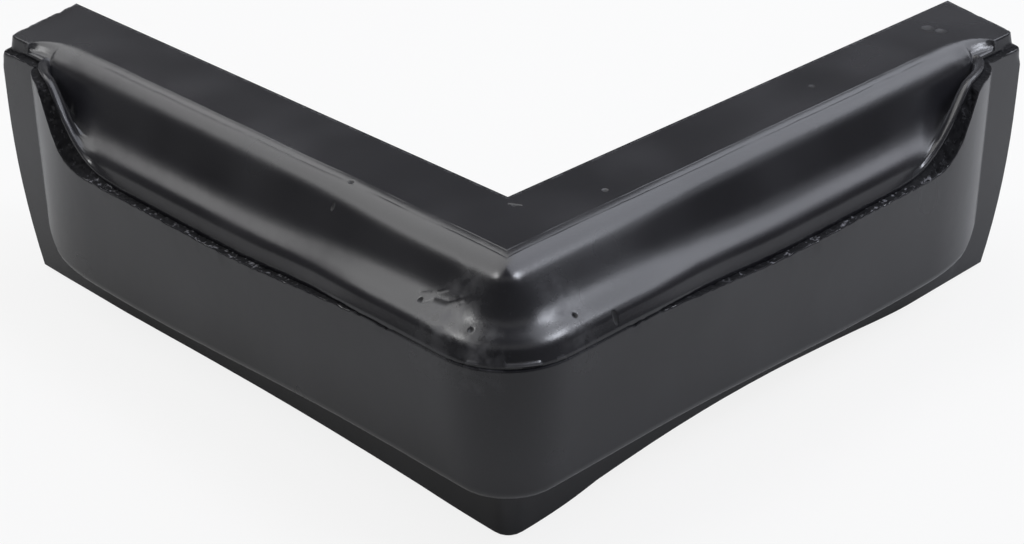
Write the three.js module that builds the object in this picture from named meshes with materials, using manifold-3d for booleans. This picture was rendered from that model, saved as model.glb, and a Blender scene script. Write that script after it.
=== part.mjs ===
// Dock corner bumper: one moulded L-shaped body with two arms at a right angle.
// Millimetres, +Z up. The arms run along +X and +Y from the inner corner, so the
// two dock-side faces look along +Y and +X and the rounded corner pad looks
// towards -X -Y. The finished part is centred over the origin and stands on z = 0.
// Sections are drawn across an arm: "offset" is the distance out from the dock
// face and "along" the distance from the inner corner.

import * as THREE from 'three';
import { mergeVertices } from 'three/addons/utils/BufferGeometryUtils.js';
import Module from 'manifold-3d';

// Overall form
const ARM_LENGTH = 250;
const HEIGHT = 96.5;
const FLANGE_DEPTH = 42;
const NOSE_RADIUS = 6;
const FLANGE_EDGE_RADIUS = 1.2;

// Contact pad on the front of the flange
const PAD_RISE = 13;
const PAD_CORNER_RADIUS_TOP = 29;
const PAD_CORNER_RADIUS_LOW = 22;
const PAD_EDGE_RADIUS = 5;
const PAD_UNDERSIDE_DROP = 4.5;
const PAD_END_MARGIN = 34;
const PAD_END_TAPER = 46;
const PAD_END_FULLNESS = 0.6;
const PAD_LOW_END_RADIUS = 24;
const PAD_LOW_AT_CORNER = 21.5;
const PAD_LOW_AT_ARM = 16;
const PAD_LOW_RUN = 160;

// Top land, which widens beyond the cove at each arm end
const TOP_LAND = 25;
const COVE_REACH_AT_END = 0.65;
const TOP_LAND_CORNER_RADIUS = 4;
const POCKET_END_MARGIN = 24;
const POCKET_END_ROUND = 22;
const POCKET_WALL_SLOPE = 76;
const POCKET_ROLL_RADIUS = 4;
const POCKET_BLEND = 3;

// Cove from the top land to the lip: crown, wall, hollow, floor and shoulder.
// Slopes are in degrees below the horizontal.
const CROWN_RADIUS = 13;
const WALL_SLOPE = 62;
const WALL_LENGTH = 7.5;
const HOLLOW_RADIUS = 22;
const FLOOR_SLOPE = 36.5;
const FLOOR_LENGTH = 2;
const SHOULDER_RADIUS = 8;
const SHOULDER_SLOPE = 78;
const SHOULDER_FALL = 2.7;
const CROWN_FULL_REACH = 14;

// The cove is mitred at the corner down to the first of these shares of its
// reach and fully rounded from the second
const COVE_MITRE_SHARE = 0.25;
const COVE_ROUND_SHARE = 0.9;

// Parting seam round the top of the pad. Its front edge climbs to SEAM_AT_END
// near each arm end, later and more steeply than the back of the trimmed ledge.
const SEAM_AT_CORNER = 69;
const SEAM_AT_ARM = 64;
const SEAM_AT_END = 91.2;
const SEAM_SAG_RUN = 90;
const SEAM_CLIMB_RUN = 60;
const SEAM_CLIMB_POWER = 4;
const LEDGE_CLIMB_RUN = 75;
const LEDGE_CLIMB_POWER = 2.9;
const LEDGE_CLIMB_LEAD = 0.8;
const LEDGE_WIDTH = 3.8;
const LEDGE_WIDTH_AT_END = 3.2;
const LEDGE_FADED_WIDTH = 0.5;
const LEDGE_FADE_START = 12;
const LEDGE_FADE_END = 55;
const LEDGE_DIP = 0.8;
const LEDGE_WALL = 2;
const LEDGE_EDGE_RADIUS = 0.7;
const LIP_RADIUS = 1;

// Arm ends
const END_ANGLE = 15;
const END_LEAN_HEIGHT = 70;
const END_FOOT_INSET = 12;
const END_LEAN_POWER = 2.2;
const END_OVERRUN = 6;
const UPPER_END_INSET = 1.5;

// Trimmed underside: each arm is slightly arched between the corner and its end
const ARCH_LEAD = 40;
const ARCH_RUN = 175;
const ARCH_POWER = 1.2;

// What differs between the arms, seen from outside the corner: how high the
// underside arches and how far from the arm end the seam has climbed
const LEFT_ARM = { archRise: 2, climbMargin: 48.2 };
const RIGHT_ARM = { archRise: 6.5, climbMargin: 52.8 };

// Facet counts, and what lies too close together to be kept apart
const ARM_STATIONS = 9;
const CLIMB_STATIONS = 18;
const ROUND_STATIONS = 7;
const CORNER_STATIONS = 26;
const CORNER_CROWDING = 1.5;
const ARC_FACETS = 8;
const COVE_FACETS = 24;
const ROLL_FACETS = 4;
const LIP_FACETS = 2;
const END_FACETS = 8;
const LEAST_STATION_STEP = 0.1;
const WELD_DISTANCE = 1e-4;

const { clamp, degToRad, lerp, smoothstep } = THREE.MathUtils;
const smooth = (value) => smoothstep(value, 0, 1);
const padEnd = ARM_LENGTH - PAD_END_MARGIN;
const ledgeEdgeInset = LEDGE_EDGE_RADIUS / 2;
const pocketEnd = ARM_LENGTH - POCKET_END_MARGIN;

// Distance from the inner corner to an outline that keeps `offset` from both
// dock-side faces and turns the corner with `radius`, seen at `angle`.
function reachAt(offset, radius, angle) {
  const centre = offset - radius;
  const cos = Math.cos(angle);
  const sin = Math.sin(angle);
  if (offset * sin <= centre * cos) {
    return offset / cos;
  }
  if (offset * cos <= centre * sin) {
    return offset / sin;
  }
  const along = centre * (cos + sin);
  return along + Math.sqrt(radius ** 2 - centre ** 2 * (1 - 2 * sin * cos));
}

// Height the trimmed underside is lifted.
function archAt(along, rise) {
  const share = clamp((along + ARCH_LEAD) / (ARCH_RUN + ARCH_LEAD), 0, 1);
  return rise * Math.sin(Math.PI * share) ** ARCH_POWER;
}

// How far the pad stands proud of the flange.
function padRiseAt(along) {
  const share = clamp((along - (padEnd - PAD_END_TAPER)) / PAD_END_TAPER, 0, 1);
  return PAD_RISE * (1 - share ** 2) ** PAD_END_FULLNESS;
}

// Height at which the pad's face ends below: the end of the pad is rounded up.
function padLowAt(along, turn) {
  const fall = smooth(Math.max(along, 0) / PAD_LOW_RUN);
  const low = lerp(lerp(PAD_LOW_AT_CORNER, PAD_LOW_AT_ARM, fall), PAD_LOW_AT_CORNER, turn);
  const share = clamp(1 - (padEnd - along) / PAD_LOW_END_RADIUS, 0, 1);
  return low + PAD_LOW_END_RADIUS * (1 - Math.sqrt(1 - share ** 2));
}

// Width of the top land: the cove's end is a quarter of an ellipse in plan.
function landAt(along) {
  const lipAtEnd = FLANGE_DEPTH - ledgeEdgeInset - LEDGE_WIDTH_AT_END - LIP_RADIUS;
  const share = clamp((along - (pocketEnd - POCKET_END_ROUND)) / POCKET_END_ROUND, 0, 1);
  return lerp(lipAtEnd - COVE_REACH_AT_END, TOP_LAND, Math.sqrt(1 - share ** 2));
}

// Share of the climb that is done, for a climb that ends `margin` from the arm end.
function climbAt(along, margin, run, power) {
  const start = ARM_LENGTH - margin - run;
  return smooth(clamp((along - start) / run, 0, 1) ** power);
}

// Heights and width of the parting ledge, with and without its climb.
function ledgeAt(along, turn, arm) {
  const sag = smooth(Math.max(along, 0) / SEAM_SAG_RUN) * (1 - turn);
  const level = lerp(SEAM_AT_CORNER, SEAM_AT_ARM, sag);
  const margin = arm.climbMargin;
  const frontClimb = climbAt(along, margin, SEAM_CLIMB_RUN, SEAM_CLIMB_POWER);
  const backMargin = margin + LEDGE_CLIMB_LEAD;
  const climb = climbAt(along, backMargin, LEDGE_CLIMB_RUN, LEDGE_CLIMB_POWER);
  const shown = smooth((along - LEDGE_FADE_START) / (LEDGE_FADE_END - LEDGE_FADE_START));
  const levelWidth = lerp(LEDGE_FADED_WIDTH, LEDGE_WIDTH, shown);
  const levelBack = level - LEDGE_DIP * shown;
  return {
    levelBack,
    levelWidth,
    front: lerp(level, SEAM_AT_END, frontClimb),
    back: lerp(levelBack, SEAM_AT_END, climb),
    width: lerp(levelWidth, LEDGE_WIDTH_AT_END, climb),
  };
}

// The cove's own outline as points from (0, 0) to (1, 1), as shares of its reach
// forward and of its drop: arcs and straights laid one after another.
function coveOutline() {
  const points = [new THREE.Vector2(0, 0)];
  const step = (length, slope) => {
    const angle = degToRad(slope);
    const last = points[points.length - 1];
    points.push(new THREE.Vector2(Math.cos(angle), Math.sin(angle)).multiplyScalar(length).add(last));
  };
  const arc = (radius, from, to) => {
    const turn = (to - from) / ARC_FACETS;
    const chord = 2 * radius * Math.sin(Math.abs(degToRad(turn)) / 2);
    for (let facet = 0; facet < ARC_FACETS; facet += 1) {
      step(chord, from + turn * (facet + 0.5));
    }
  };
  arc(CROWN_RADIUS, 0, WALL_SLOPE);
  step(WALL_LENGTH, WALL_SLOPE);
  arc(HOLLOW_RADIUS, WALL_SLOPE, FLOOR_SLOPE);
  step(FLOOR_LENGTH, FLOOR_SLOPE);
  arc(SHOULDER_RADIUS, FLOOR_SLOPE, SHOULDER_SLOPE);
  step(SHOULDER_FALL, SHOULDER_SLOPE);
  const whole = points[points.length - 1].clone();
  return points.map((point) => point.divide(whole));
}

const coveShape = coveOutline();
const coveCurve = new THREE.CurvePath();
coveShape.slice(1).forEach((point, index) => {
  coveCurve.add(new THREE.LineCurve(coveShape[index], point));
});

// Share of the cove's drop at a share of its reach.
function coveDropAt(share) {
  const next = coveShape.findIndex((point) => point.x >= share);
  if (next <= 0) {
    return next < 0 ? 1 : 0;
  }
  const [from, to] = [coveShape[next - 1], coveShape[next]];
  return lerp(from.y, to.y, (share - from.x) / (to.x - from.x));
}

// The larger of two heights, blended where they are closer than `blend`.
function smoothMax(a, b, blend) {
  const overlap = Math.max(blend - Math.abs(a - b), 0);
  return Math.max(a, b) + (blend > 0 ? overlap ** 2 / (4 * blend) : 0);
}

// Fall of the pocket's wall at a distance behind the lip: it rolls over the lip
// and then goes straight down.
function pocketFallAt(behind) {
  const slope = degToRad(POCKET_WALL_SLOPE);
  const rolled = Math.min(behind, POCKET_ROLL_RADIUS * Math.sin(slope));
  const roll = POCKET_ROLL_RADIUS - Math.sqrt(POCKET_ROLL_RADIUS ** 2 - rolled ** 2);
  return roll + (behind - rolled) * Math.tan(slope);
}

// Points of the cove from the lip back up to the land. Towards the arm ends the
// climbing lip rolls over into a steep wall, which turns the cove into a pocket.
function covePoints(land, lipOffset, lipHeight, ledge) {
  const reach = lipOffset - land;
  const crownScale = Math.min(1, reach / CROWN_FULL_REACH);
  const fullReach = FLANGE_DEPTH + PAD_RISE - ledge.levelWidth - LIP_RADIUS - TOP_LAND;
  const fullDrop = HEIGHT - (ledge.levelBack + LEDGE_WALL);
  const blend = clamp(lipHeight - (HEIGHT - fullDrop), 0, POCKET_BLEND);
  const points = [];
  for (let facet = COVE_FACETS; facet >= 0; facet -= 1) {
    const forward = reach * coveCurve.getPointAt(facet / COVE_FACETS).x;
    const drop = fullDrop * crownScale * coveDropAt(forward / (crownScale * fullReach));
    const height = smoothMax(HEIGHT - drop, lipHeight - pocketFallAt(reach - forward), blend);
    points.push(new THREE.Vector2(land + forward, Math.min(height, HEIGHT)));
  }
  return points;
}

// Cross-section of the bumper at one station: a closed outline of points, each
// with its offset from the dock face, its height and its plan radius.
function sectionAt(along, turn, arm) {
  const front = FLANGE_DEPTH + padRiseAt(along);
  const low = padLowAt(along, turn);
  const ledge = ledgeAt(along, turn, arm);
  const foot = archAt(along, arm.archRise);
  const points = [];
  const add = (offset, height, radius) => points.push({ offset, height, radius });

  add(0, foot, 0);
  add(FLANGE_DEPTH - FLANGE_EDGE_RADIUS, foot, NOSE_RADIUS);
  add(FLANGE_DEPTH, foot + FLANGE_EDGE_RADIUS, NOSE_RADIUS);
  add(FLANGE_DEPTH, low - PAD_UNDERSIDE_DROP, NOSE_RADIUS);

  const roll = Math.min(PAD_EDGE_RADIUS, front - FLANGE_DEPTH);
  for (let facet = 0; facet <= ROLL_FACETS; facet += 1) {
    const angle = (facet / ROLL_FACETS) * (Math.PI / 2);
    const offset = front - roll * (1 - Math.sin(angle));
    const share = (offset - FLANGE_DEPTH) / PAD_RISE;
    const height = low + PAD_EDGE_RADIUS * (1 - Math.cos(angle));
    add(offset, height, lerp(NOSE_RADIUS, PAD_CORNER_RADIUS_LOW, share));
  }
  const middle = (low + ledge.front) / 2;
  add(front, middle, (PAD_CORNER_RADIUS_LOW + PAD_CORNER_RADIUS_TOP) / 2);
  add(front, ledge.front - LEDGE_EDGE_RADIUS, PAD_CORNER_RADIUS_TOP);
  add(front - ledgeEdgeInset, ledge.front, PAD_CORNER_RADIUS_TOP);
  const back = front - ledgeEdgeInset - ledge.width;
  add(back, ledge.back, PAD_CORNER_RADIUS_TOP);

  const lipHeight = ledge.back + LEDGE_WALL;
  for (let facet = 0; facet < LIP_FACETS; facet += 1) {
    const angle = (facet / LIP_FACETS) * (Math.PI / 2);
    const offset = back - LIP_RADIUS * (1 - Math.cos(angle));
    add(offset, lipHeight - LIP_RADIUS * (1 - Math.sin(angle)), PAD_CORNER_RADIUS_TOP);
  }
  const coveFront = FLANGE_DEPTH + PAD_RISE;
  for (const point of covePoints(landAt(along), back - LIP_RADIUS, lipHeight, ledge)) {
    const share = clamp((point.x - TOP_LAND) / (coveFront - TOP_LAND), 0, 1);
    const grown = smooth((share - COVE_MITRE_SHARE) / (COVE_ROUND_SHARE - COVE_MITRE_SHARE));
    add(point.x, point.y, lerp(TOP_LAND_CORNER_RADIUS, PAD_CORNER_RADIUS_TOP, grown));
  }
  add(0, HEIGHT, 0);
  return points;
}

// Distances along an arm at which its section is drawn: closest where the seam
// climbs and where the pad and the cove are rounded off.
function armStations(arm) {
  const climbStart = ARM_LENGTH - arm.climbMargin - LEDGE_CLIMB_LEAD - LEDGE_CLIMB_RUN;
  const roundStart = pocketEnd - POCKET_END_ROUND;
  const stations = [];
  for (let step = 1; step <= ARM_STATIONS; step += 1) {
    stations.push((climbStart * step) / ARM_STATIONS);
  }
  for (let step = 1; step <= CLIMB_STATIONS; step += 1) {
    stations.push(lerp(climbStart, roundStart, step / CLIMB_STATIONS));
  }
  for (let step = 1; step <= ROUND_STATIONS; step += 1) {
    const share = Math.sin((step / ROUND_STATIONS) * (Math.PI / 2));
    stations.push(lerp(roundStart, padEnd, share), lerp(roundStart, pocketEnd, share));
  }
  stations.push(ARM_LENGTH + END_OVERRUN);
  stations.sort((first, second) => first - second);
  return stations.filter((along, index) => index === 0 || along - stations[index - 1] > LEAST_STATION_STEP);
}

function ringOnArm(along, arm) {
  return sectionAt(along, 0, arm).map(({ offset, height }) =>
    arm === LEFT_ARM
      ? new THREE.Vector3(-offset, along, height)
      : new THREE.Vector3(along, -offset, height),
  );
}

// Sections that fan about the inner corner from the -X direction to the -Y one.
function ringAtCorner(share) {
  const bend = 2 * share - 1;
  const angle = (Math.PI / 4) * (1 + Math.sign(bend) * Math.abs(bend) ** CORNER_CROWDING);
  const turn = Math.sin(2 * angle);
  const arm = bend < 0 ? LEFT_ARM : RIGHT_ARM;
  return sectionAt(-ARCH_LEAD * turn, turn, arm).map(({ offset, height, radius }) => {
    const reach = offset > 0 ? reachAt(offset, radius, angle) : 0;
    return new THREE.Vector3(-reach * Math.cos(angle), -reach * Math.sin(angle), height);
  });
}

function bodyRings() {
  const left = armStations(LEFT_ARM).map((along) => ringOnArm(along, LEFT_ARM));
  const right = armStations(RIGHT_ARM).map((along) => ringOnArm(along, RIGHT_ARM));
  const corner = [];
  for (let step = 0; step <= CORNER_STATIONS; step += 1) {
    corner.push(ringAtCorner(step / CORNER_STATIONS));
  }
  return [...left.reverse(), ...corner, ...right];
}

// Closed mesh through a row of rings with equal point counts, capped flat.
function loftRings(rings) {
  const count = rings[0].length;
  const positions = rings.flat().flatMap((point) => point.toArray());
  const faces = [];
  for (let ring = 0; ring < rings.length - 1; ring += 1) {
    for (let side = 0; side < count; side += 1) {
      const a = ring * count + side;
      const b = ring * count + ((side + 1) % count);
      faces.push([a, b + count, b], [a, a + count, b + count]);
    }
  }
  const capOutline = rings[0].map((point) => new THREE.Vector2(point.x, point.z));
  const last = (rings.length - 1) * count;
  for (const [a, b, c] of THREE.ShapeUtils.triangulateShape(capOutline, [])) {
    faces.push([a, c, b], [last + a, last + b, last + c]);
  }
  return meshFrom(positions, faces);
}

function meshFrom(positions, faces) {
  const geometry = new THREE.BufferGeometry();
  geometry.setAttribute('position', new THREE.Float32BufferAttribute(positions, 3));
  geometry.setIndex(faces.flat());
  return geometry;
}

// Everything beyond the slanted end face of the +X arm, whose lower part leans
// back towards its foot. The cutter starts `inset` short of the end and reaches
// down to `floor`, or through the whole height where there is none.
function endCutter(inset, floor) {
  const outline = new THREE.Shape();
  outline.moveTo(-inset, HEIGHT * 2);
  if (floor === undefined) {
    for (let facet = 0; facet <= END_FACETS; facet += 1) {
      const share = facet / END_FACETS;
      const lean = END_FOOT_INSET * share ** END_LEAN_POWER;
      outline.lineTo(-inset - lean, END_LEAN_HEIGHT * (1 - share));
    }
    outline.lineTo(-inset - END_FOOT_INSET, -HEIGHT);
    outline.lineTo(ARM_LENGTH, -HEIGHT);
  } else {
    outline.lineTo(-inset, floor);
    outline.lineTo(ARM_LENGTH, floor);
  }
  outline.lineTo(ARM_LENGTH, HEIGHT * 2);
  const geometry = new THREE.ExtrudeGeometry(outline, { depth: ARM_LENGTH, bevelEnabled: false });
  geometry.rotateX(Math.PI / 2);
  geometry.translate(0, ARM_LENGTH / 2, 0);
  geometry.rotateZ(-degToRad(END_ANGLE));
  geometry.translate(ARM_LENGTH, 0, 0);
  return geometry;
}

// The same closed mesh for the other arm, with its faces still outward.
function mirroredAcrossCorner(geometry) {
  const swap = new THREE.Matrix4().set(0, 1, 0, 0, 1, 0, 0, 0, 0, 0, 1, 0, 0, 0, 0, 1);
  const mirrored = geometry.clone().applyMatrix4(swap);
  const order = Array.from(mirrored.index.array);
  for (let corner = 0; corner < order.length; corner += 3) {
    [order[corner + 1], order[corner + 2]] = [order[corner + 2], order[corner + 1]];
  }
  mirrored.setIndex(order);
  return mirrored;
}

// The mesh with its shared points merged and without faces that have no area.
function weld(geometry) {
  const bare = new THREE.BufferGeometry();
  bare.setAttribute('position', geometry.getAttribute('position').clone());
  if (geometry.index) {
    bare.setIndex(geometry.index.clone());
  }
  const merged = mergeVertices(bare, WELD_DISTANCE);
  const order = merged.index.array;
  const kept = [];
  for (let corner = 0; corner < order.length; corner += 3) {
    const [a, b, c] = [order[corner], order[corner + 1], order[corner + 2]];
    if (a !== b && b !== c && c !== a) {
      kept.push(a, b, c);
    }
  }
  merged.setIndex(kept);
  return merged;
}

const wasm = await Module();
wasm.setup();

function toSolid(geometry) {
  const welded = weld(geometry);
  return new wasm.Manifold(
    new wasm.Mesh({
      numProp: 3,
      vertProperties: new Float32Array(welded.getAttribute('position').array),
      triVerts: new Uint32Array(welded.index.array),
    }),
  );
}

function toGeometry(solid) {
  const mesh = solid.getMesh();
  const geometry = new THREE.BufferGeometry();
  geometry.setAttribute('position', new THREE.BufferAttribute(mesh.vertProperties, 3));
  geometry.setIndex(new THREE.BufferAttribute(mesh.triVerts, 1));
  return geometry;
}

function bumperGeometry() {
  let solid = toSolid(loftRings(bodyRings()));
  for (const cutter of [endCutter(0), endCutter(UPPER_END_INSET, SEAM_AT_END)].map(weld)) {
    solid = solid.subtract(toSolid(cutter)).subtract(toSolid(mirroredAcrossCorner(cutter)));
  }
  const geometry = toGeometry(solid);
  geometry.computeBoundingBox();
  const { min, max } = geometry.boundingBox;
  geometry.translate(-(min.x + max.x) / 2, -(min.y + max.y) / 2, -min.z);
  return geometry.toNonIndexed();
}

const rubber = new THREE.MeshStandardMaterial({
  name: 'black_rubber',
  color: 0x2b2b2e,
  roughness: 0.42,
  metalness: 0,
});

const body = new THREE.Mesh(bumperGeometry(), rubber);
body.geometry.computeVertexNormals();
body.name = 'bumper_body';

const bumper = new THREE.Group();
bumper.name = 'dock_corner_bumper';
bumper.add(body);

export default bumper;
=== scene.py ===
"""Dress the moulded dock corner bumper and set it on a pale studio floor."""

import math

import bmesh
import bpy
from mathutils import Matrix, Vector, noise
from mathutils.kdtree import KDTree


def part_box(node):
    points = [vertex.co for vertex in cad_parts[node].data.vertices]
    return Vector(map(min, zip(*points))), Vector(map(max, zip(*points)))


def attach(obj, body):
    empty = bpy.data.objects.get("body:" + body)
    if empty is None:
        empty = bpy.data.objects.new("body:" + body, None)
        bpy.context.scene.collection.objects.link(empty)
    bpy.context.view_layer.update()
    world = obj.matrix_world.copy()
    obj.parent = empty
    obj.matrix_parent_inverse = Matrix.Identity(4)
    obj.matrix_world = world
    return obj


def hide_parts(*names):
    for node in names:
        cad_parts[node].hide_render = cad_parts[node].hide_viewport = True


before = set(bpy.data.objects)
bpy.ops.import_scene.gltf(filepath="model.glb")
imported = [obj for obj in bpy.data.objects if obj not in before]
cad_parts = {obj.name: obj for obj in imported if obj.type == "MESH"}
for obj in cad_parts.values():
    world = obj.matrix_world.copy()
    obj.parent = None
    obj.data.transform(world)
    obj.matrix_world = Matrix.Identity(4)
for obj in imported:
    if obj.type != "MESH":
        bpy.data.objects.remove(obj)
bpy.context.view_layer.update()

bl_info = {
    "name": "Dock Corner Bumper",
    "version": (1, 0, 0),
    "blender": (4, 5, 0),
    "location": "View3D > Sidebar > Bumper",
    "description": "Moulded rubber skin, parting line and studio for a dock corner bumper",
    "category": "Object",
}

MM = 0.001
BODY_NODE = "bumper_body"
SKIN_NAME = "moulded_skin"
SKIN_SLOT, TRIM_SLOT = 0, 1
body_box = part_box(BODY_NODE)

# The bumper's main sizes. Distances along an arm are from the inner corner, offsets
# are from the dock-side faces.
ARM_LENGTH = 250 * MM
FLANGE_DEPTH = 42 * MM
PAD_RISE = 13 * MM
PAD_END = 216 * MM
PAD_END_TAPER = 46 * MM
PAD_END_FULLNESS = 0.6
TOP = body_box[1][2]
INNER_CORNER = Vector((
    body_box[0][0] + FLANGE_DEPTH + PAD_RISE,
    body_box[0][1] + FLANGE_DEPTH + PAD_RISE, 0.0))
TOUCHING = 0.1 * MM

# Marks lie above this height. Below it the skin is plainer and needs fewer facets.
UPPER_SURFACE = 62 * MM
# The dock-side faces and the underside stay plain up to this far from them.
HIDDEN_SIDE = 0.2 * MM

# The seam's front edge sags from the corner to the arm, and climbs to the top step
# before the arm's end
SEAM_AT_CORNER = 69 * MM
SEAM_AT_ARM = 64 * MM
SEAM_AT_END = 91.2 * MM
SEAM_SAG_RUN = 90 * MM
SEAM_CLIMB_RUN = 60 * MM
SEAM_CLIMB_POWER = 4.0
CLIMB_MARGINS = {"left": 48.2 * MM, "right": 52.8 * MM}

# The ledge behind it is a hairline at the corner, widens along the arm and climbs on a
# curve of its own
LEDGE_CLIMB_RUN = 75 * MM
LEDGE_CLIMB_POWER = 2.9
LEDGE_CLIMB_LEAD = 0.8 * MM
LEDGE_DIP = 0.8 * MM
LEDGE_WIDTH = 3.8 * MM
LEDGE_WIDTH_AT_END = 3.2 * MM
LEDGE_FADED_WIDTH = 0.5 * MM
LEDGE_FADE_START = 12 * MM
LEDGE_FADE_RUN = 43 * MM
LEDGE_INSET = 0.35 * MM

# Faces count as the torn ledge between these places and this near to it
TRIM_START = 5 * MM
TRIM_END = 249.5 * MM
TRIM_SHARES = (0.02, 0.98)
TRIM_TOLERANCE = 0.45 * MM
TRIM_CLIMB_TOLERANCE = 1.8 * MM

# The arm's end is melted into soft forms from these places on, over these runs
MELT_ALONG, MELT_ALONG_RUN = 226 * MM, 8 * MM
MELT_OFFSET, MELT_OFFSET_RUN = 12 * MM, 8 * MM
MELT_HEIGHT, MELT_HEIGHT_RUN = 84 * MM, 5 * MM
MELT_ROUNDS = 5
MELT_STRENGTH = 0.5

# Pits in the upper surface: arm, distance along, offset, radius and depth in mm
PITS = (
    ("left", 46.0, 28.4, 1.1, 0.5),
    ("left", 46.6, 36.2, 0.9, 0.35),
    ("left", -31.2, 46.9, 1.0, 0.5),
    ("left", -7.6, 46.7, 1.0, 0.5),
    ("right", 26.2, 19.3, 1.4, 0.4),
    ("right", -17.9, 48.1, 1.0, 0.9),
    ("right", -4.1, 52.6, 1.2, 0.5),
    ("right", -2.8, 5.7, 1.0, 0.5),
    ("right", 218.7, 11.6, 3.0, 0.3),
    ("right", 219.6, 17.0, 2.6, 0.3),
    ("right", 142.2, 14.6, 1.6, 0.2),
)
# Cuts: arm, both ends as distance along and offset, half width and depth in mm
CUTS = (
    ("left", (-12.5, 45.2), (-17.5, 44.7), 0.8, 0.3),
    ("left", (-17.5, 44.7), (-22.7, 42.1), 0.5, 0.22),
    ("left", (-8.5, 47.6), (-12.0, 45.4), 0.5, 0.14),
    ("left", (-12.0, 43.0), (-15.5, 41.6), 0.4, 0.12),
    ("left", (-6.0, 45.0), (-9.5, 43.8), 0.4, 0.12),
    ("right", (-1.2, 7.6), (-3.6, 3.4), 0.35, 0.4),
)
# Curls of torn flash, given like the cuts but raised
CURLS = (
    ("right", (-45.4, 45.4), (-41.2, 48.9), 0.75, 0.3),
    ("right", (-41.2, 48.9), (-37.0, 51.5), 0.85, 0.45),
    ("right", (-31.0, 53.6), (-28.5, 54.0), 0.6, 0.2),
    ("right", (-23.0, 54.5), (-20.0, 54.6), 0.6, 0.2),
    ("left", (-38.0, 51.0), (-35.0, 52.4), 0.6, 0.2),
)
# The height of the corner's seam, where the curls stand, and their reach from it in mm
CURL_HEIGHT = 70.3
CURL_REACH = 1.0
# Scuffed places: arm, distance along, offset and radius in mm
SCUFFS = (
    ("left", -22.0, 47.0, 15.0),
    ("right", -20.0, 47.0, 12.0),
    ("left", -38.0, 50.0, 12.0),
)
PIT_WALL_POWER = 1.5
# The fine facets round a mark reach this much past it, in its radius and in mm
PIT_SURROUND_SHARE = 1.6
PIT_SURROUND = 0.8
CUT_SURROUND = 1.0
SCUFF_DEPTH = 0.1 * MM
# A pit or cut this deep takes its full painted shade, and a curl this high its full painted
# highlight
FULL_SCAR_SHADE = 0.4 * MM
FULL_CURL_HIGHLIGHT = 0.3 * MM

# Cleaning of the body's triangles
MERGE_DISTANCE = 2e-5
DEGENERATE_LENGTH = 1e-6
JOIN_FACE_ANGLE = math.radians(25)
JOIN_SHAPE_ANGLE = math.radians(60)
SHARP_ANGLE = math.radians(32)

# The sharp outer rims, which are followed in steps
RIM_ANGLE = math.radians(50)
RIM_STEP = 0.5 * MM
RIM_REACH = 1.6 * MM
RIM_FACET_REACH = 2.5 * MM
RIM_FACET_FOOT = 15 * MM

# The skin's facets, by what the surface carries there
TRIM_FACET = 0.65 * MM
MARK_FACET = 0.35 * MM
MELT_FACET = 1.2 * MM
RIM_FACET = 1.1 * MM
UPPER_FACET = 2.2 * MM
LOWER_FACET = 4 * MM
HIDDEN_FACET = 12 * MM
FACET_SLACK = 1.4
REFINE_ROUNDS = 8

# Noise that roughens the skin: the size and the weight of each wave
SLOW_WAVES = ((46 * MM, 1.0), (17 * MM, 0.4))
TORN_GRAIN = ((2.4 * MM, 0.8), (1.1 * MM, 0.6), (6 * MM, 0.4))
RIM_GRAIN = ((3.2 * MM, 1.0), (1.2 * MM, 0.6))
SCUFF_GRAIN = ((1.8 * MM, 1.0),)

# How the torn ledge and its edges follow their grain, as shares of the pore depth
PORE_SINK = 0.4
PORE_GAIN = 0.9
PORE_SWELL = 0.3
EDGE_GAIN = 0.8
EDGE_SWELL = 0.1

# How the rims are nibbled, as shares of the chip depth, fully only high up
CHIP_BIAS = 0.1
CHIP_SINK = 0.2
CHIP_LOW_SHARE = 0.3
CHIP_RISE_START = 20 * MM
CHIP_RISE_RUN = 60 * MM

# Masks that the skin carries as attributes for its material: wear, painted shade in the pits
# and cuts, and painted highlight on the flash curls
WEAR_AND_PAINTED_LIGHT_MASKS = ("rim_nearness", "scar_and_shade", "scuffed", "curl_highlight")

# Fine lines along the crown: the offset and the strength of each, their breadth and
# wander, where they fade along the arm, and the heights where they set in
FLOW_LINES = ((26.4 * MM, 0.6), (29.7 * MM, 1.0))
FLOW_LINE_HALF_WIDTH = 0.45 * MM
FLOW_LINE_WOBBLE = 0.9 * MM
FLOW_LINE_FADE = (185 * MM, 205 * MM)
FLOW_LINE_HEIGHTS = (90 * MM, 93 * MM)

# What each mask adds to the moulded skin's dust, roughness and height
SKIN_DUST = {"patches": 0.08, "specks": 0.10, "scuffs": 0.3, "rubbed": 0.35}
SKIN_ROUGHNESS = {"patches": 0.05, "scuffs": 0.3, "rubbed": 0.25, "scars_and_shade": 0.5}
SKIN_HEIGHT = {"grain": 1.0, "flow": 1.3, "scuffs": -0.2}
# Painted highlight: how far the flash curls are lightened toward the dust colour
FLASH_HIGHLIGHT = 0.4
# The same for the torn ledge, whose pale flecks are only on its low part
LEDGE_ROUGHNESS = {"patches": 0.15}
LEDGE_ROUGHNESS_BASE = 0.75
LEDGE_HEIGHT = {"grain": 1.0, "torn": 1.0}
FLECK_HEIGHTS = (64.3 * MM, 65.6 * MM)
FLECK_SHARE_ABOVE = 0.15

# Sockets of a Mix node that is set to colours
MIX_FIRST, MIX_SECOND, MIX_RESULT = 6, 7, 2

# The camera: its place in arm lengths from the inner corner, its angles in degrees, and
# its focal length in pixels of the picture
IMAGE_WIDTH = 1024
CAMERA_PLACE = (-1.7188, -1.7580, 1.6143)
CAMERA_TURN = -45 + 0.5324
CAMERA_PITCH = 28.6106
CAMERA_ROLL = -0.3845
FOCAL_PIXELS = 2085.5
SENSOR_WIDTH = 36.0

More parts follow.
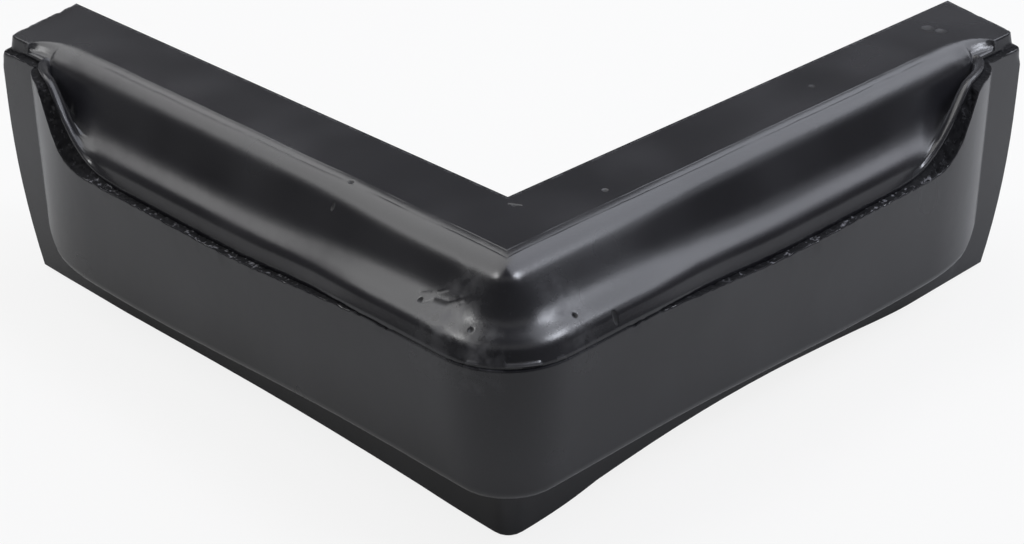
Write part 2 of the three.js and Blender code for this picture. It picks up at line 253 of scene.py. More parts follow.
# The stage faces along the corner's diagonal. The surround is lit softly and is pale to
# the camera alone.
STAGE_TURN = math.radians(-45)
LIT_POINT = Vector((-0.05, -0.05, 0.05))
FLOOR_HALF_WIDTH = 6.0
FLOOR_GREY = (0.42, 0.42, 0.42, 1.0)
FLOOR_GLOW = 0.1
FLOOR_GLOW_TO_CAMERA = 0.75
ROOM_GREY = (0.5, 0.5, 0.5, 1.0)
ROOM_STRENGTH = 0.3
BACKDROP_PALE = (0.8, 0.8, 0.8, 1.0)
WHITE = (1.0, 1.0, 1.0, 1.0)

# The colours of the lamps' light
NEUTRAL = (1.0, 1.0, 1.0)
COOL = (0.88, 0.91, 1.0)
# The way that the ceiling lamps look, a hair off the vertical, which fixes their turn
DOWN = Vector((-1e-4, -1e-4, -1.0))
# Ceiling lamps: name, place to the right, away and up, size, radiance and colour
CEILING_LAMPS = (
    ("ceiling_left", (-0.92, 0.575, 1.2), (1.84, 1.7), 2.6, NEUTRAL),
    ("ceiling_right", (0.93, 0.575, 1.2), (1.86, 1.7), 3.1, COOL),
    ("wing_left", (-2.2, 0.5, 1.2), (0.72, 1.85), 0.6, NEUTRAL),
    ("wing_right", (2.2, 0.5, 1.2), (0.68, 1.85), 1.5, COOL),
)
# Lamps aimed at the lit point: name, azimuth from the camera and elevation in degrees,
# distance, size, radiance and colour
AIMED_LAMPS = (
    ("front_fill", 0, 56, 1.6, (1.6, 0.5), 0.4, NEUTRAL),
    ("left_softbox", -76, 49, 1.5, (0.4, 0.35), 8.5, NEUTRAL),
    ("right_softbox", 78, 50, 1.5, (0.4, 0.35), 19.0, COOL),
)


def smooth_step(value):
    """A share from 0 to 1 that starts and ends softly."""
    value = min(max(value, 0.0), 1.0)
    return value * value * (3.0 - 2.0 * value)


def ramp(value, start, run):
    """A soft rise from 0 at `start` to 1 after `run`."""
    return smooth_step((value - start) / run)


def mix(a, b, share):
    return a + (b - a) * share


def layered_noise(point, waves):
    """Noise of several sizes, added up by weight."""
    return sum(weight * noise.noise(point / size) for size, weight in waves)


def arm_place(point):
    """The arm that a point is on, its distance along and its offset."""
    from_left = INNER_CORNER.x - point.x
    from_right = INNER_CORNER.y - point.y
    if from_left > from_right:
        return "left", -from_right, from_left
    return "right", -from_left, from_right


def flat_place(point):
    """The arm that a point is on, and its distance along and offset in mm."""
    arm, along, offset = arm_place(point)
    return arm, Vector((along, offset)) / MM


def on_hidden_side(point):
    """Whether a point is on a dock-side face or on the underside."""
    return arm_place(point)[2] < HIDDEN_SIDE or point.z < HIDDEN_SIDE


def climb_share(along, margin, run, power):
    """How far an edge of the ledge has climbed, ending `margin` before the arm's end."""
    share = min(max((along - (ARM_LENGTH - margin - run)) / run, 0.0), 1.0)
    return smooth_step(share ** power)


def trim_shape(arm, along):
    """Offset and height of the trimmed band's front edge, then of its back edge."""
    taper = min(max((along - PAD_END + PAD_END_TAPER) / PAD_END_TAPER, 0.0), 1.0)
    front = FLANGE_DEPTH + PAD_RISE * (1.0 - taper * taper) ** PAD_END_FULLNESS - LEDGE_INSET
    level = mix(SEAM_AT_CORNER, SEAM_AT_ARM, ramp(max(along, 0.0), 0.0, SEAM_SAG_RUN))
    shown = ramp(along, LEDGE_FADE_START, LEDGE_FADE_RUN)
    margin = CLIMB_MARGINS[arm]
    climb = climb_share(along, margin, SEAM_CLIMB_RUN, SEAM_CLIMB_POWER)
    back_climb = climb_share(
        along, margin + LEDGE_CLIMB_LEAD, LEDGE_CLIMB_RUN, LEDGE_CLIMB_POWER)
    front_height = mix(level, SEAM_AT_END, climb)
    back_height = mix(level - LEDGE_DIP * shown, SEAM_AT_END, back_climb)
    width = mix(mix(LEDGE_FADED_WIDTH, LEDGE_WIDTH, shown), LEDGE_WIDTH_AT_END, back_climb)
    return front, front_height, front - width, back_height


def on_trim(point):
    """Whether a face's middle lies on the trimmed band."""
    arm, along, offset = arm_place(point)
    if along < TRIM_START or along > TRIM_END:
        return False
    front, front_height, back, back_height = trim_shape(arm, along)
    share = (front - offset) / (front - back)
    height = mix(front_height, back_height, share)
    climbing = along > ARM_LENGTH - CLIMB_MARGINS[arm] - LEDGE_CLIMB_RUN
    tolerance = TRIM_CLIMB_TOLERANCE if climbing else TRIM_TOLERANCE
    return TRIM_SHARES[0] < share < TRIM_SHARES[1] and abs(point.z - height) < tolerance


def melt_share(point):
    """How far the arm's end above the seam is melted into soft forms."""
    arm, along, offset = arm_place(point)
    if offset < MELT_OFFSET or offset > FLANGE_DEPTH + TOUCHING or point.z < MELT_HEIGHT:
        return 0.0
    return (
        ramp(along, MELT_ALONG, MELT_ALONG_RUN) * ramp(offset, MELT_OFFSET, MELT_OFFSET_RUN)
        * ramp(point.z, MELT_HEIGHT, MELT_HEIGHT_RUN))


def near_segment(point, start, end):
    """Distance of a flat point from a flat segment."""
    run = end - start
    share = min(max((point - start).dot(run) / run.length_squared, 0.0), 1.0)
    return (point - start - run * share).length


def from_spots(arm, place, spots):
    """Distance from each round mark on the arm, with the mark's own sizes."""
    for spot_arm, along, offset, *sizes in spots:
        if spot_arm == arm:
            yield ((place - Vector((along, offset))).length, *sizes)


def from_strokes(arm, place, strokes):
    """Distance from each long mark on the arm, with the mark's own sizes."""
    for stroke_arm, start, end, *sizes in strokes:
        if stroke_arm == arm:
            yield (near_segment(place, Vector(start), Vector(end)), *sizes)


def mark_depth(point):
    """How deep the pits and cuts reach at a point of the upper surface."""
    if point.z < UPPER_SURFACE:
        return 0.0
    arm, place = flat_place(point)
    depth = 0.0
    for distance, radius, pit_depth in from_spots(arm, place, PITS):
        reach = min(distance / radius, 1.0)
        depth = max(depth, pit_depth * (1.0 - reach * reach) ** PIT_WALL_POWER)
    for distance, half_width, cut_depth in from_strokes(arm, place, CUTS):
        depth = max(depth, cut_depth * (1.0 - distance / half_width))
    return depth * MM


def near_mark(point):
    """Whether a pit, a cut or a curl is so near that the skin needs fine facets."""
    if point.z < UPPER_SURFACE:
        return False
    arm, place = flat_place(point)
    near_pit = any(
        distance < radius * PIT_SURROUND_SHARE + PIT_SURROUND
        for distance, radius, depth in from_spots(arm, place, PITS))
    return near_pit or any(
        distance < half_width + CUT_SURROUND
        for distance, half_width, depth in from_strokes(arm, place, CUTS + CURLS))


def curl_height(point):
    """How high the torn flash stands at a point of the corner's seam."""
    rise = abs(point.z / MM - CURL_HEIGHT)
    if rise > CURL_REACH:
        return 0.0
    arm, place = flat_place(point)
    height = 0.0
    for distance, half_width, curl_rise in from_strokes(arm, place, CURLS):
        reach = math.hypot(distance, rise) / half_width
        height = max(height, curl_rise * (1.0 - reach * reach))
    return height * MM


def scuff_share(point):
    """How scuffed the upper surface is at a point."""
    if point.z <= UPPER_SURFACE:
        return 0.0
    arm, place = flat_place(point)
    return max(
        (smooth_step(1.0 - distance / radius)
         for distance, radius in from_spots(arm, place, SCUFFS)), default=0.0)


def coarse_skin():
    """The body's own form in clean faces, with its torn ledge and hard edges marked."""
    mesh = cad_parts[BODY_NODE].data.copy()
    mesh.name = SKIN_NAME
    mesh.materials.clear()
    shape = bmesh.new()
    shape.from_mesh(mesh)
    bmesh.ops.remove_doubles(shape, verts=shape.verts, dist=MERGE_DISTANCE)
    bmesh.ops.dissolve_degenerate(shape, dist=DEGENERATE_LENGTH, edges=shape.edges)
    bmesh.ops.join_triangles(
        shape, faces=shape.faces, angle_face_threshold=JOIN_FACE_ANGLE,
        angle_shape_threshold=JOIN_SHAPE_ANGLE)
    for face in shape.faces:
        face.smooth = True
        face.material_index = TRIM_SLOT if on_trim(face.calc_center_median()) else SKIN_SLOT
    for edge in shape.edges:
        slots = {face.material_index for face in edge.link_faces}
        edge.smooth = edge.calc_face_angle(0.0) < SHARP_ANGLE and len(slots) == 1
    shape.to_mesh(mesh)
    shape.free()
    return mesh


def store_soft_normals(mesh):
    """Keep each corner's weighted normal as an attribute that subdivision carries on."""
    skin = bpy.data.objects.new("soft_shading", mesh)
    bpy.context.scene.collection.objects.link(skin)
    weighted = skin.modifiers.new("face_weighted", "WEIGHTED_NORMAL")
    weighted.keep_sharp = True
    weighted.weight = 50
    shaded = skin.evaluated_get(bpy.context.evaluated_depsgraph_get())
    normals = [0.0] * (3 * len(mesh.loops))
    shaded.data.corner_normals.foreach_get("vector", normals)
    layer = mesh.attributes.new("soft_normal", "FLOAT_VECTOR", "CORNER")
    layer.data.foreach_set("vector", normals)
    bpy.data.objects.remove(skin)


def rim_tree(shape):
    """Points along the sharp outer rims, with the way out of the body at each."""
    places = []
    for edge in shape.edges:
        start, end = (vert.co for vert in edge.verts)
        middle = (start + end) / 2
        outer = middle.z > TOP - TOUCHING or arm_place(middle)[1] > ARM_LENGTH - TOUCHING
        if outer and edge.is_manifold and edge.calc_face_angle_signed() > RIM_ANGLE:
            ahead = (edge.link_faces[0].normal + edge.link_faces[1].normal).normalized()
            steps = max(1, int((end - start).length / RIM_STEP))
            for step in range(steps + 1):
                places.append((start.lerp(end, step / steps), ahead))
    tree = KDTree(len(places))
    for index, (place, ahead) in enumerate(places):
        tree.insert(place, index)
    tree.balance()
    return tree, [ahead for place, ahead in places]


def facet_size(edge, rims):
    """How long an edge may be: short where the surface has fine relief."""
    middle = (edge.verts[0].co + edge.verts[1].co) / 2
    if any(face.material_index == TRIM_SLOT for face in edge.link_faces):
        return TRIM_FACET
    if near_mark(middle):
        return MARK_FACET
    if melt_share(middle) > 0:
        return MELT_FACET
    if on_hidden_side(middle):
        return HIDDEN_FACET
    rim_distance = rims.find(middle)[2]
    if rim_distance < RIM_FACET_REACH and middle.z > RIM_FACET_FOOT:
        return RIM_FACET
    return UPPER_FACET if middle.z > UPPER_SURFACE else LOWER_FACET


def refine(shape, rims):
    """Split the edges until each is as short as the relief there needs."""
    for step in range(REFINE_ROUNDS):
        long_edges = [
            edge for edge in shape.edges
            if edge.calc_length() > FACET_SLACK * facet_size(edge, rims)]
        if not long_edges:
            break
        bmesh.ops.subdivide_edges(shape, edges=long_edges, cuts=1, use_grid_fill=True)


def melt_ends(shape):
    """Soften the step, the lip and the land where each arm ends."""
    melted = shape.verts.layers.float.new("melted")
    for vert in shape.verts:
        vert[melted] = melt_share(vert.co)
    soft = [vert for vert in shape.verts if vert[melted] > 0]
    for step in range(MELT_ROUNDS):
        middles = []
        for vert in soft:
            around = [edge.other_vert(vert).co for edge in vert.link_edges]
            middles.append(sum(around, Vector()) / len(around))
        for vert, middle in zip(soft, middles):
            vert.co = vert.co.lerp(middle, MELT_STRENGTH * vert[melted])


def relief_move(vert, settings, rims, rim_ways, masks):
    """How the relief moves a point of the skin. Its wear masks, and its masks of painted shade
    in pits and cuts and of painted highlight on curls, are filled in too.
    """
    point = vert.co.copy()
    move = vert.normal * (settings.wave_depth * layered_noise(point, SLOW_WAVES))
    torn = [face.material_index == TRIM_SLOT for face in vert.link_faces]
    if all(torn):
        sink = max(PORE_SINK + PORE_GAIN * layered_noise(point, TORN_GRAIN), -PORE_SWELL)
        move -= vert.normal * settings.pore_depth * sink
    elif any(torn):
        sink = max(EDGE_GAIN * layered_noise(point, TORN_GRAIN), -EDGE_SWELL)
        move.z -= settings.pore_depth * sink
    rim_index, rim_distance = rims.find(point)[1:]
    near = smooth_step(1.0 - rim_distance / RIM_REACH)
    vert[masks["rim_nearness"]] = near
    if near > 0:
        rough = max(layered_noise(point, RIM_GRAIN) + CHIP_BIAS, 0.0)
        share = mix(CHIP_LOW_SHARE, 1.0, ramp(point.z, CHIP_RISE_START, CHIP_RISE_RUN))
        move -= rim_ways[rim_index] * near * (settings.chip_depth * (share * rough + CHIP_SINK))
    depth = mark_depth(point)
    # Painted shade: the deeper a pit or cut, the darker its colour
    vert[masks["scar_and_shade"]] = min(depth / FULL_SCAR_SHADE, 1.0)
    scuff = scuff_share(point)
    vert[masks["scuffed"]] = scuff
    move -= vert.normal * (depth + scuff * SCUFF_DEPTH * layered_noise(point, SCUFF_GRAIN))
    curl = curl_height(point)
    # Painted highlight: the higher a flash curl stands, the lighter its colour
    vert[masks["curl_highlight"]] = min(curl / FULL_CURL_HIGHLIGHT, 1.0)
    move += vert.normal * curl
    return move


def push_skin(shape, settings, rims, rim_ways):
    """Move the fine points: slow waves, porous ledge, nibbled rims, pits, cuts, curls."""
    masks = {name: shape.verts.layers.float.new(name) for name in WEAR_AND_PAINTED_LIGHT_MASKS}
    low, high = body_box
    moves = [
        None if on_hidden_side(vert.co) else relief_move(vert, settings, rims, rim_ways, masks)
        for vert in shape.verts]
    shape.normal_update()
    before = [vert.normal.copy() for vert in shape.verts]
    for vert, move in zip(shape.verts, moves):
        if move is not None:
            place = vert.co + move
            vert.co = [min(max(place[axis], low[axis]), high[axis]) for axis in range(3)]
    shape.normal_update()
    shift = shape.verts.layers.float_vector.new("normal_shift")
    for vert, old in zip(shape.verts, before):
        vert[shift] = vert.normal - old


def set_soft_normals(mesh):
    """Shade each corner by its soft normal, turned as the relief turned the surface."""
    soft = mesh.attributes["soft_normal"].data
    shift = mesh.attributes["normal_shift"].data
    melted = mesh.attributes["melted"].data
    normals = []
    for index, corner in enumerate(mesh.loops):
        place = corner.vertex_index
        turned = (soft[index].vector.normalized() + shift[place].vector).normalized()
        share = melted[place].value
        normals.append(turned.lerp(mesh.vertices[place].normal, share).normalized())
    for name in ("soft_normal", "normal_shift", "melted"):
        mesh.attributes.remove(mesh.attributes[name])
    mesh.normals_split_custom_set(normals)


def build_skin(settings):
    """The visible piece: the body's form with its fine relief and both materials."""
    mesh = coarse_skin()
    store_soft_normals(mesh)
    shape = bmesh.new()
    shape.from_mesh(mesh)
    rims, rim_ways = rim_tree(shape)
    refine(shape, rims)
    melt_ends(shape)
    push_skin(shape, settings, rims, rim_ways)
    shape.to_mesh(mesh)
    shape.free()
    set_soft_normals(mesh)
    mesh.materials.append(moulded_material(settings))
    mesh.materials.append(trimmed_material(settings))
    skin = bpy.data.objects.new(SKIN_NAME, mesh)
    bpy.context.scene.collection.objects.link(skin)
    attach(skin, "root")
    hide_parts(BODY_NODE)


def new_material(name):
    """A material with an empty node tree."""
    material = bpy.data.materials.new(name)
    material.use_nodes = True
    material.node_tree.nodes.clear()
    return material


def feed(tree, socket, value):
    """Give an input a link, if the value is a socket, or else the value itself."""
    if isinstance(value, bpy.types.NodeSocket):
        tree.links.new(value, socket)
    else:
        socket.default_value = value


def add_math(tree, operation, *values, clamp=False):
    """A Math node whose inputs are numbers or sockets. Returns its output."""
    node = tree.nodes.new("ShaderNodeMath")
    node.operation = operation
    node.use_clamp = clamp
    for socket, value in zip(node.inputs, values):
        feed(tree, socket, value)
    return node.outputs[0]


def add_shares(tree, masks, shares, base=0.0, clamp=True):
    """`base` plus each named mask times its share, kept from 0 to 1 by the clamp."""
    total = base
    for name, share in shares.items():
        total = add_math(tree, "MULTIPLY_ADD", masks[name], share, total, clamp=clamp)
    return total


def add_range(tree, value, low, high, low_out=0.0, high_out=1.0):
    """A smooth Map Range node. Returns its output."""
    node = tree.nodes.new("ShaderNodeMapRange")
    node.interpolation_type = "SMOOTHSTEP"
    tree.links.new(value, node.inputs["Value"])
    limits = {"From Min": low, "From Max": high, "To Min": low_out, "To Max": high_out}
    for name, number in limits.items():
        node.inputs[name].default_value = number
    return node.outputs["Result"]


def add_noise(tree, vector, scale, detail, roughness=0.5):
    """A Noise Texture node. Returns its value."""
    node = tree.nodes.new("ShaderNodeTexNoise")
    tree.links.new(vector, node.inputs["Vector"])
    feed(tree, node.inputs["Scale"], scale)
    node.inputs["Detail"].default_value = detail
    node.inputs["Roughness"].default_value = roughness
    return node.outputs["Fac"]


def add_mix(tree, share, first, second):
    """A colour mix whose inputs are colours or sockets. Returns its output."""
    node = tree.nodes.new("ShaderNodeMix")
    node.data_type = "RGBA"
    tree.links.new(share, node.inputs["Factor"])
    for index, value in ((MIX_FIRST, first), (MIX_SECOND, second)):
        plain = not isinstance(value, bpy.types.NodeSocket)
        feed(tree, node.inputs[index], (*value, 1.0) if plain else value)
    return node.outputs[MIX_RESULT]


def add_attribute(tree, name):
    """One of the masks that the skin carries."""
    node = tree.nodes.new("ShaderNodeAttribute")
    node.attribute_name = name
    return node.outputs["Fac"]


def add_parts(tree, vector):
    """The X, Y and Z of a vector."""
    node = tree.nodes.new("ShaderNodeSeparateXYZ")
    tree.links.new(vector, node.inputs[0])
    return node.outputs


def start_group(name, inputs, outputs):
    """A shader node group with its input and output nodes."""
    group = bpy.data.node_groups.new(name, "ShaderNodeTree")
    for socket, kind in inputs:
        group.interface.new_socket(socket, in_out="INPUT", socket_type=kind)
    for socket, kind in outputs:
        group.interface.new_socket(socket, in_out="OUTPUT", socket_type=kind)
    return group, group.nodes.new("NodeGroupInput"), group.nodes.new("NodeGroupOutput")


def dust_group():
    """Cloudy patches of settled dust, and single specks."""
    group, given, result = start_group(
        "settled_dust", (("Vector", "NodeSocketVector"), ("Patch Scale", "NodeSocketFloat")),
        (("Patches", "NodeSocketFloat"), ("Specks", "NodeSocketFloat")))
    vector = given.outputs["Vector"]
    clouds = add_noise(group, vector, scale=given.outputs["Patch Scale"], detail=1.0)
    fine = add_noise(group, vector, scale=1400.0, detail=1.0)
    group.links.new(add_range(group, clouds, low=0.3, high=0.8), result.inputs["Patches"])
    group.links.new(add_range(group, fine, low=0.7, high=0.8), result.inputs["Specks"])


def grain_group():
    """The faint orange peel of a moulded skin."""
    group, given, result = start_group(
        "moulded_grain", (("Vector", "NodeSocketVector"), ("Grain Scale", "NodeSocketFloat")),
        (("Height", "NodeSocketFloat"),))
    vector = given.outputs["Vector"]
    peel = {
        "fine": add_noise(
            group, vector, scale=given.outputs["Grain Scale"], detail=3.0, roughness=0.55),
        "broad": add_noise(group, vector, scale=170.0, detail=2.0),
    }
    height = add_shares(group, peel, {"fine": 0.35, "broad": 0.65}, clamp=False)
    group.links.new(height, result.inputs["Height"])


def wear_group():
    """Rubbed rims: a mask that is broken up by noise."""
    group, given, result = start_group(
        "rubbed_rims", (("Vector", "NodeSocketVector"), ("Nearness", "NodeSocketFloat")),
        (("Rubbed", "NodeSocketFloat"),))
    patchy = add_noise(
        group, given.outputs["Vector"], scale=420.0, detail=4.0, roughness=0.65)
    broken = add_range(group, patchy, low=0.4, high=0.62)
    rubbed = add_math(group, "MULTIPLY", given.outputs["Nearness"], broken)
    group.links.new(rubbed, result.inputs["Rubbed"])


def add_group(tree, name, vector, **values):
    """Place a node group. Its inputs are named with _ for a space."""
    node = tree.nodes.new("ShaderNodeGroup")
    node.node_tree = bpy.data.node_groups[name]
    tree.links.new(vector, node.inputs["Vector"])
    for socket, value in values.items():
        feed(tree, node.inputs[socket.replace("_", " ")], value)
    return node.outputs


def flow_lines(tree, vector):
    """Two faint raised lines that follow the crown of the cove from arm to arm."""
    parts = add_parts(tree, vector)
    from_left = add_math(tree, "SUBTRACT", INNER_CORNER.x, parts["X"])
    from_right = add_math(tree, "SUBTRACT", INNER_CORNER.y, parts["Y"])
    offset = add_math(tree, "MAXIMUM", from_left, from_right)
    along = add_math(tree, "MINIMUM", from_left, from_right)
    wander = add_noise(tree, vector, scale=60.0, detail=2.0)
    place = add_math(tree, "MULTIPLY_ADD", wander, FLOW_LINE_WOBBLE, offset)
    height = 0.0
    for line, strength in FLOW_LINES:
        away = add_math(tree, "ABSOLUTE", add_math(tree, "SUBTRACT", place, line))
        ridge = add_range(tree, away, 0.0, FLOW_LINE_HALF_WIDTH, low_out=1.0, high_out=0.0)
        height = add_math(tree, "MULTIPLY_ADD", ridge, strength, height)
    fade_start, fade_end = FLOW_LINE_FADE
    patchy = add_noise(tree, vector, scale=38.0, detail=2.0)
    shares = (
        add_range(tree, patchy, low=0.35, high=0.6, low_out=0.25),
        add_range(tree, along, -fade_end, -fade_start),
        add_range(tree, parts["Z"], *FLOW_LINE_HEIGHTS))
    for share in shares:
        height = add_math(tree, "MULTIPLY", height, share)
    return height


def finish_material(tree, color, roughness, height, bump_strength, bump_depth, gloss=0.5):
    """The shader with its colour, roughness and bump, and the material's output."""
    output = tree.nodes.new("ShaderNodeOutputMaterial")
    shader = tree.nodes.new("ShaderNodeBsdfPrincipled")
    shader.inputs["IOR"].default_value = 1.5
    shader.inputs["Specular IOR Level"].default_value = gloss
    tree.links.new(color, shader.inputs["Base Color"])
    tree.links.new(roughness, shader.inputs["Roughness"])
    bump = tree.nodes.new("ShaderNodeBump")
    bump.inputs["Strength"].default_value = bump_strength
    bump.inputs["Distance"].default_value = bump_depth
    tree.links.new(height, bump.inputs["Height"])
    tree.links.new(bump.outputs["Normal"], shader.inputs["Normal"])
    tree.links.new(shader.outputs["BSDF"], output.inputs["Surface"])


def moulded_material(settings):
    """Smooth black rubber skin with dust, flow lines, scuffs and rubbed rims, painted shade in
    the pits and cuts, and a painted highlight on the flash curls.
    """
    material = new_material("moulded_rubber")
    tree = material.node_tree
    vector = tree.nodes.new("ShaderNodeTexCoord").outputs["Object"]
    dust = add_group(tree, "settled_dust", vector, Patch_Scale=26.0)
    grain = add_group(tree, "moulded_grain", vector, Grain_Scale=1500.0)
    rims = add_group(
        tree, "rubbed_rims", vector, Nearness=add_attribute(tree, "rim_nearness"))
    patchy = add_noise(tree, vector, scale=240.0, detail=2.0)
    scratched = add_range(tree, patchy, low=0.3, high=0.8)
    masks = {
        "patches": dust["Patches"],
        "specks": dust["Specks"],
        "rubbed": rims["Rubbed"],
        "scuffs": add_math(tree, "MULTIPLY", add_attribute(tree, "scuffed"), scratched),
        "scars_and_shade": add_attribute(tree, "scar_and_shade"),
        "grain": grain["Height"],
        "flow": flow_lines(tree, vector),
    }
    # Painted highlight: the flash curls lighten toward the dust colour by their height
    flash = add_math(tree, "MULTIPLY", add_attribute(tree, "curl_highlight"), FLASH_HIGHLIGHT)
    dusty = add_shares(tree, masks, SKIN_DUST)
    color = add_mix(tree, dusty, settings.rubber_color, settings.dust_and_highlight_color)
    # Painted shade: pits and cuts darken toward the pore colour by their depth
    color = add_mix(tree, masks["scars_and_shade"], color, settings.pore_and_shade_color)
    color = add_mix(tree, flash, color, settings.dust_and_highlight_color)
    rough = add_shares(tree, masks, SKIN_ROUGHNESS, base=settings.skin_roughness)
    height = add_shares(tree, masks, SKIN_HEIGHT, clamp=False)
    finish_material(tree, color, rough, height, bump_strength=0.5, bump_depth=0.15 * MM)
    return material


def trimmed_material(settings):
    """Torn, porous rubber where the flash was cut away."""
    material = new_material("trimmed_rubber")
    tree = material.node_tree
    vector = tree.nodes.new("ShaderNodeTexCoord").outputs["Object"]
    dust = add_group(tree, "settled_dust", vector, Patch_Scale=190.0)
    grain = add_group(tree, "moulded_grain", vector, Grain_Scale=900.0)
    patchy = add_noise(tree, vector, scale=480.0, detail=3.0, roughness=0.6)
    torn = add_range(tree, patchy, low=0.55, high=0.66)
    masks = {"patches": dust["Patches"], "grain": grain["Height"], "torn": torn}
    height_up = add_parts(tree, vector)["Z"]
    low_part = add_range(
        tree, height_up, *FLECK_HEIGHTS, low_out=1.0, high_out=FLECK_SHARE_ABOVE)
    flecks = add_math(tree, "MULTIPLY", torn, low_part)
    color = add_mix(tree, flecks, settings.pore_and_shade_color, settings.dust_and_highlight_color)
    rough = add_shares(tree, masks, LEDGE_ROUGHNESS, base=LEDGE_ROUGHNESS_BASE)
    height = add_shares(tree, masks, LEDGE_HEIGHT, clamp=False)
    finish_material(
        tree, color, rough, height, bump_strength=0.8, bump_depth=0.4 * MM, gloss=0.12)
    return material


def place_camera():
    """Build the camera from its place and angles."""
    place = INNER_CORNER + ARM_LENGTH * Vector(CAMERA_PLACE)
    turn = math.radians(CAMERA_TURN)
    pitch = math.radians(CAMERA_PITCH)
    roll = math.radians(CAMERA_ROLL)
    ahead = Vector((
        -math.sin(turn) * math.cos(pitch), math.cos(turn) * math.cos(pitch), -math.sin(pitch)))
    right = Vector((math.cos(turn), math.sin(turn), 0.0))
    up = right.cross(ahead)
    right, up = (
        math.cos(roll) * right + math.sin(roll) * up,
        math.cos(roll) * up - math.sin(roll) * right)
    lens = bpy.data.cameras.new("photo_camera")
    lens.sensor_width = SENSOR_WIDTH
    lens.lens = SENSOR_WIDTH * FOCAL_PIXELS / IMAGE_WIDTH
    camera = bpy.data.objects.new("photo_camera", lens)
    camera.matrix_world = Matrix((
        (right.x, up.x, -ahead.x, place.x),
        (right.y, up.y, -ahead.y, place.y),
        (right.z, up.z, -ahead.z, place.z),
        (0.0, 0.0, 0.0, 1.0)))
    bpy.context.scene.collection.objects.link(camera)
    bpy.context.scene.camera = camera


def stage_point(side, back, height):
    """A place seen from the camera: to its right, away from it and up from the lit point."""
    right = Vector((math.cos(STAGE_TURN), math.sin(STAGE_TURN), 0.0))
    away = Vector((-math.sin(STAGE_TURN), math.cos(STAGE_TURN), 0.0))
    return LIT_POINT + right * side + away * back + Vector((0.0, 0.0, height))


def area_lamp(name, place, facing, size, radiance, color):
    """A rectangular soft lamp at `place` that looks along `facing`."""
    data = bpy.data.lights.new(name, "AREA")
    data.shape = "RECTANGLE"
    data.size, data.size_y = size
    data.energy = radiance * math.pi * size[0] * size[1]
    data.color = color
    lamp = bpy.data.objects.new(name, data)
    lamp.location = place
    lamp.rotation_euler = (-facing).to_track_quat("Z", "Y").to_euler()
    bpy.context.scene.collection.objects.link(lamp)


def build_lamps():
    """Ceiling lamps that look down, and softer ones that are aimed at the bumper."""
    for name, place, size, radiance, color in CEILING_LAMPS:
        area_lamp(name, stage_point(*place), DOWN, size, radiance, color)
    for name, azimuth, elevation, distance, size, radiance, color in AIMED_LAMPS:
        turn = math.radians(azimuth)
        lift = math.radians(elevation)
        place = stage_point(
            math.sin(turn) * math.cos(lift) * distance,
            -math.cos(turn) * math.cos(lift) * distance,
            math.sin(lift) * distance)
        area_lamp(name, place, LIT_POINT - place, size, radiance, color)


def blend_shaders(tree, share, first, second, output):
    """Mix two shaders into the tree's output."""
    blend = tree.nodes.new("ShaderNodeMixShader")
    tree.links.new(share, blend.inputs["Fac"])
    tree.links.new(first.outputs[0], blend.inputs[1])
    tree.links.new(second.outputs[0], blend.inputs[2])
    tree.links.new(blend.outputs["Shader"], output.inputs["Surface"])


def build_floor():
    """A pale floor that keeps the bumper's shadow."""
    shape = bmesh.new()
    bmesh.ops.create_grid(shape, x_segments=1, y_segments=1, size=FLOOR_HALF_WIDTH)
    mesh = bpy.data.meshes.new("studio_floor")
    shape.to_mesh(mesh)
    shape.free()
    floor = bpy.data.objects.new("studio_floor", mesh)
    bpy.context.scene.collection.objects.link(floor)
    material = new_material("pale_floor")
    tree = material.node_tree
    output = tree.nodes.new("ShaderNodeOutputMaterial")
    matt = tree.nodes.new("ShaderNodeBsdfDiffuse")
    matt.inputs["Color"].default_value = FLOOR_GREY
    glow = tree.nodes.new("ShaderNodeEmission")
    glow.inputs["Color"].default_value = WHITE
    glow.inputs["Strength"].default_value = 1.0
    path = tree.nodes.new("ShaderNodeLightPath")
    glowing = add_math(
        tree, "MULTIPLY_ADD", path.outputs["Is Camera Ray"], FLOOR_GLOW_TO_CAMERA, FLOOR_GLOW)
    blend_shaders(tree, glowing, matt, glow, output)
    mesh.materials.append(material)


def build_surround():
    """A dim room that lights the bumper, and a pale backdrop for the camera."""
    world = bpy.data.worlds.new("studio_surround")
    bpy.context.scene.world = world
    world.use_nodes = True
    tree = world.node_tree
    tree.nodes.clear()
    output = tree.nodes.new("ShaderNodeOutputWorld")
    room = tree.nodes.new("ShaderNodeBackground")
    room.inputs["Color"].default_value = ROOM_GREY
    room.inputs["Strength"].default_value = ROOM_STRENGTH
    backdrop = tree.nodes.new("ShaderNodeBackground")
    backdrop.inputs["Color"].default_value = BACKDROP_PALE
    backdrop.inputs["Strength"].default_value = 1.0
    path = tree.nodes.new("ShaderNodeLightPath")
    blend_shaders(tree, path.outputs["Is Camera Ray"], room, backdrop, output)


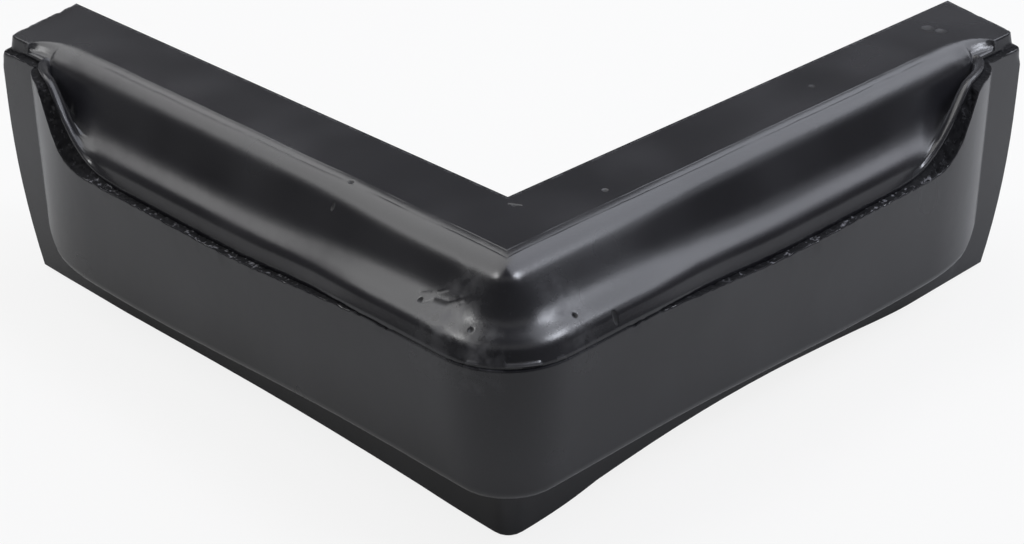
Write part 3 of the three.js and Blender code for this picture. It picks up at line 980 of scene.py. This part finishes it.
class BumperSettings(bpy.types.PropertyGroup):
    """Colours and sizes a user may change."""

    rubber_color: bpy.props.FloatVectorProperty(
        name="Rubber colour", description="Colour of the moulded skin",
        default=(0.0065, 0.0065, 0.0085), min=0.0, max=1.0, size=3, subtype="COLOR")
    # The dust colour is also the painted highlight on the flash curls
    dust_and_highlight_color: bpy.props.FloatVectorProperty(
        name="Dust colour", description="Colour of settled dust and of rubbed rims",
        default=(0.11, 0.11, 0.12), min=0.0, max=1.0, size=3, subtype="COLOR")
    # The pore colour is also the painted shade in pits and cuts
    pore_and_shade_color: bpy.props.FloatVectorProperty(
        name="Pore colour", description="Colour of the torn rubber along the trimmed seam",
        default=(0.004, 0.004, 0.005), min=0.0, max=1.0, size=3, subtype="COLOR")
    skin_roughness: bpy.props.FloatProperty(
        name="Skin roughness", description="Roughness of the moulded skin where it is clean",
        default=0.23, min=0.0, max=1.0, subtype="FACTOR")
    wave_depth: bpy.props.FloatProperty(
        name="Wave depth", description="Height of the slow waves in the moulded skin",
        default=0.12 * MM, min=0.0, max=1.0 * MM, unit="LENGTH")
    pore_depth: bpy.props.FloatProperty(
        name="Pore depth", description="Depth of the torn pores along the trimmed seam",
        default=0.9 * MM, min=0.0, max=2.0 * MM, unit="LENGTH")
    chip_depth: bpy.props.FloatProperty(
        name="Chip depth", description="Depth of the nibbles in the outer rims",
        default=0.45 * MM, min=0.0, max=2.0 * MM, unit="LENGTH")


class BUMPER_OT_stage(bpy.types.Operator):
    """Build the floor, the surround, the lamps and the camera"""

    bl_idname = "bumper.stage"
    bl_label = "Studio"

    def execute(self, context):
        context.scene.view_settings.view_transform = "Standard"
        build_floor()
        build_surround()
        build_lamps()
        place_camera()
        return {"FINISHED"}


class BUMPER_OT_skin(bpy.types.Operator):
    """Build the moulded skin over the bumper body"""

    bl_idname = "bumper.skin"
    bl_label = "Moulded skin"

    def execute(self, context):
        dust_group()
        grain_group()
        wear_group()
        build_skin(context.scene.bumper_settings)
        return {"FINISHED"}


class BUMPER_PT_panel(bpy.types.Panel):
    """Steps and settings of the bumper"""

    bl_label = "Dock corner bumper"
    bl_idname = "BUMPER_PT_panel"
    bl_space_type = "VIEW_3D"
    bl_region_type = "UI"
    bl_category = "Bumper"

    def draw(self, context):
        layout = self.layout
        settings = context.scene.bumper_settings
        for name in (
                "rubber_color", "dust_and_highlight_color", "pore_and_shade_color", "skin_roughness",
                "wave_depth", "pore_depth", "chip_depth"):
            layout.prop(settings, name)
        for step in ("bumper.stage", "bumper.skin"):
            layout.operator(step)


CLASSES = (BumperSettings, BUMPER_OT_stage, BUMPER_OT_skin, BUMPER_PT_panel)


def register():
    for cls in CLASSES:
        bpy.utils.register_class(cls)
    bpy.types.Scene.bumper_settings = bpy.props.PointerProperty(type=BumperSettings)


def unregister():
    del bpy.types.Scene.bumper_settings
    for cls in reversed(CLASSES):
        bpy.utils.unregister_class(cls)


def main():
    register()
    bpy.ops.bumper.stage()
    bpy.ops.bumper.skin()


if __name__ == "__main__":
    main()
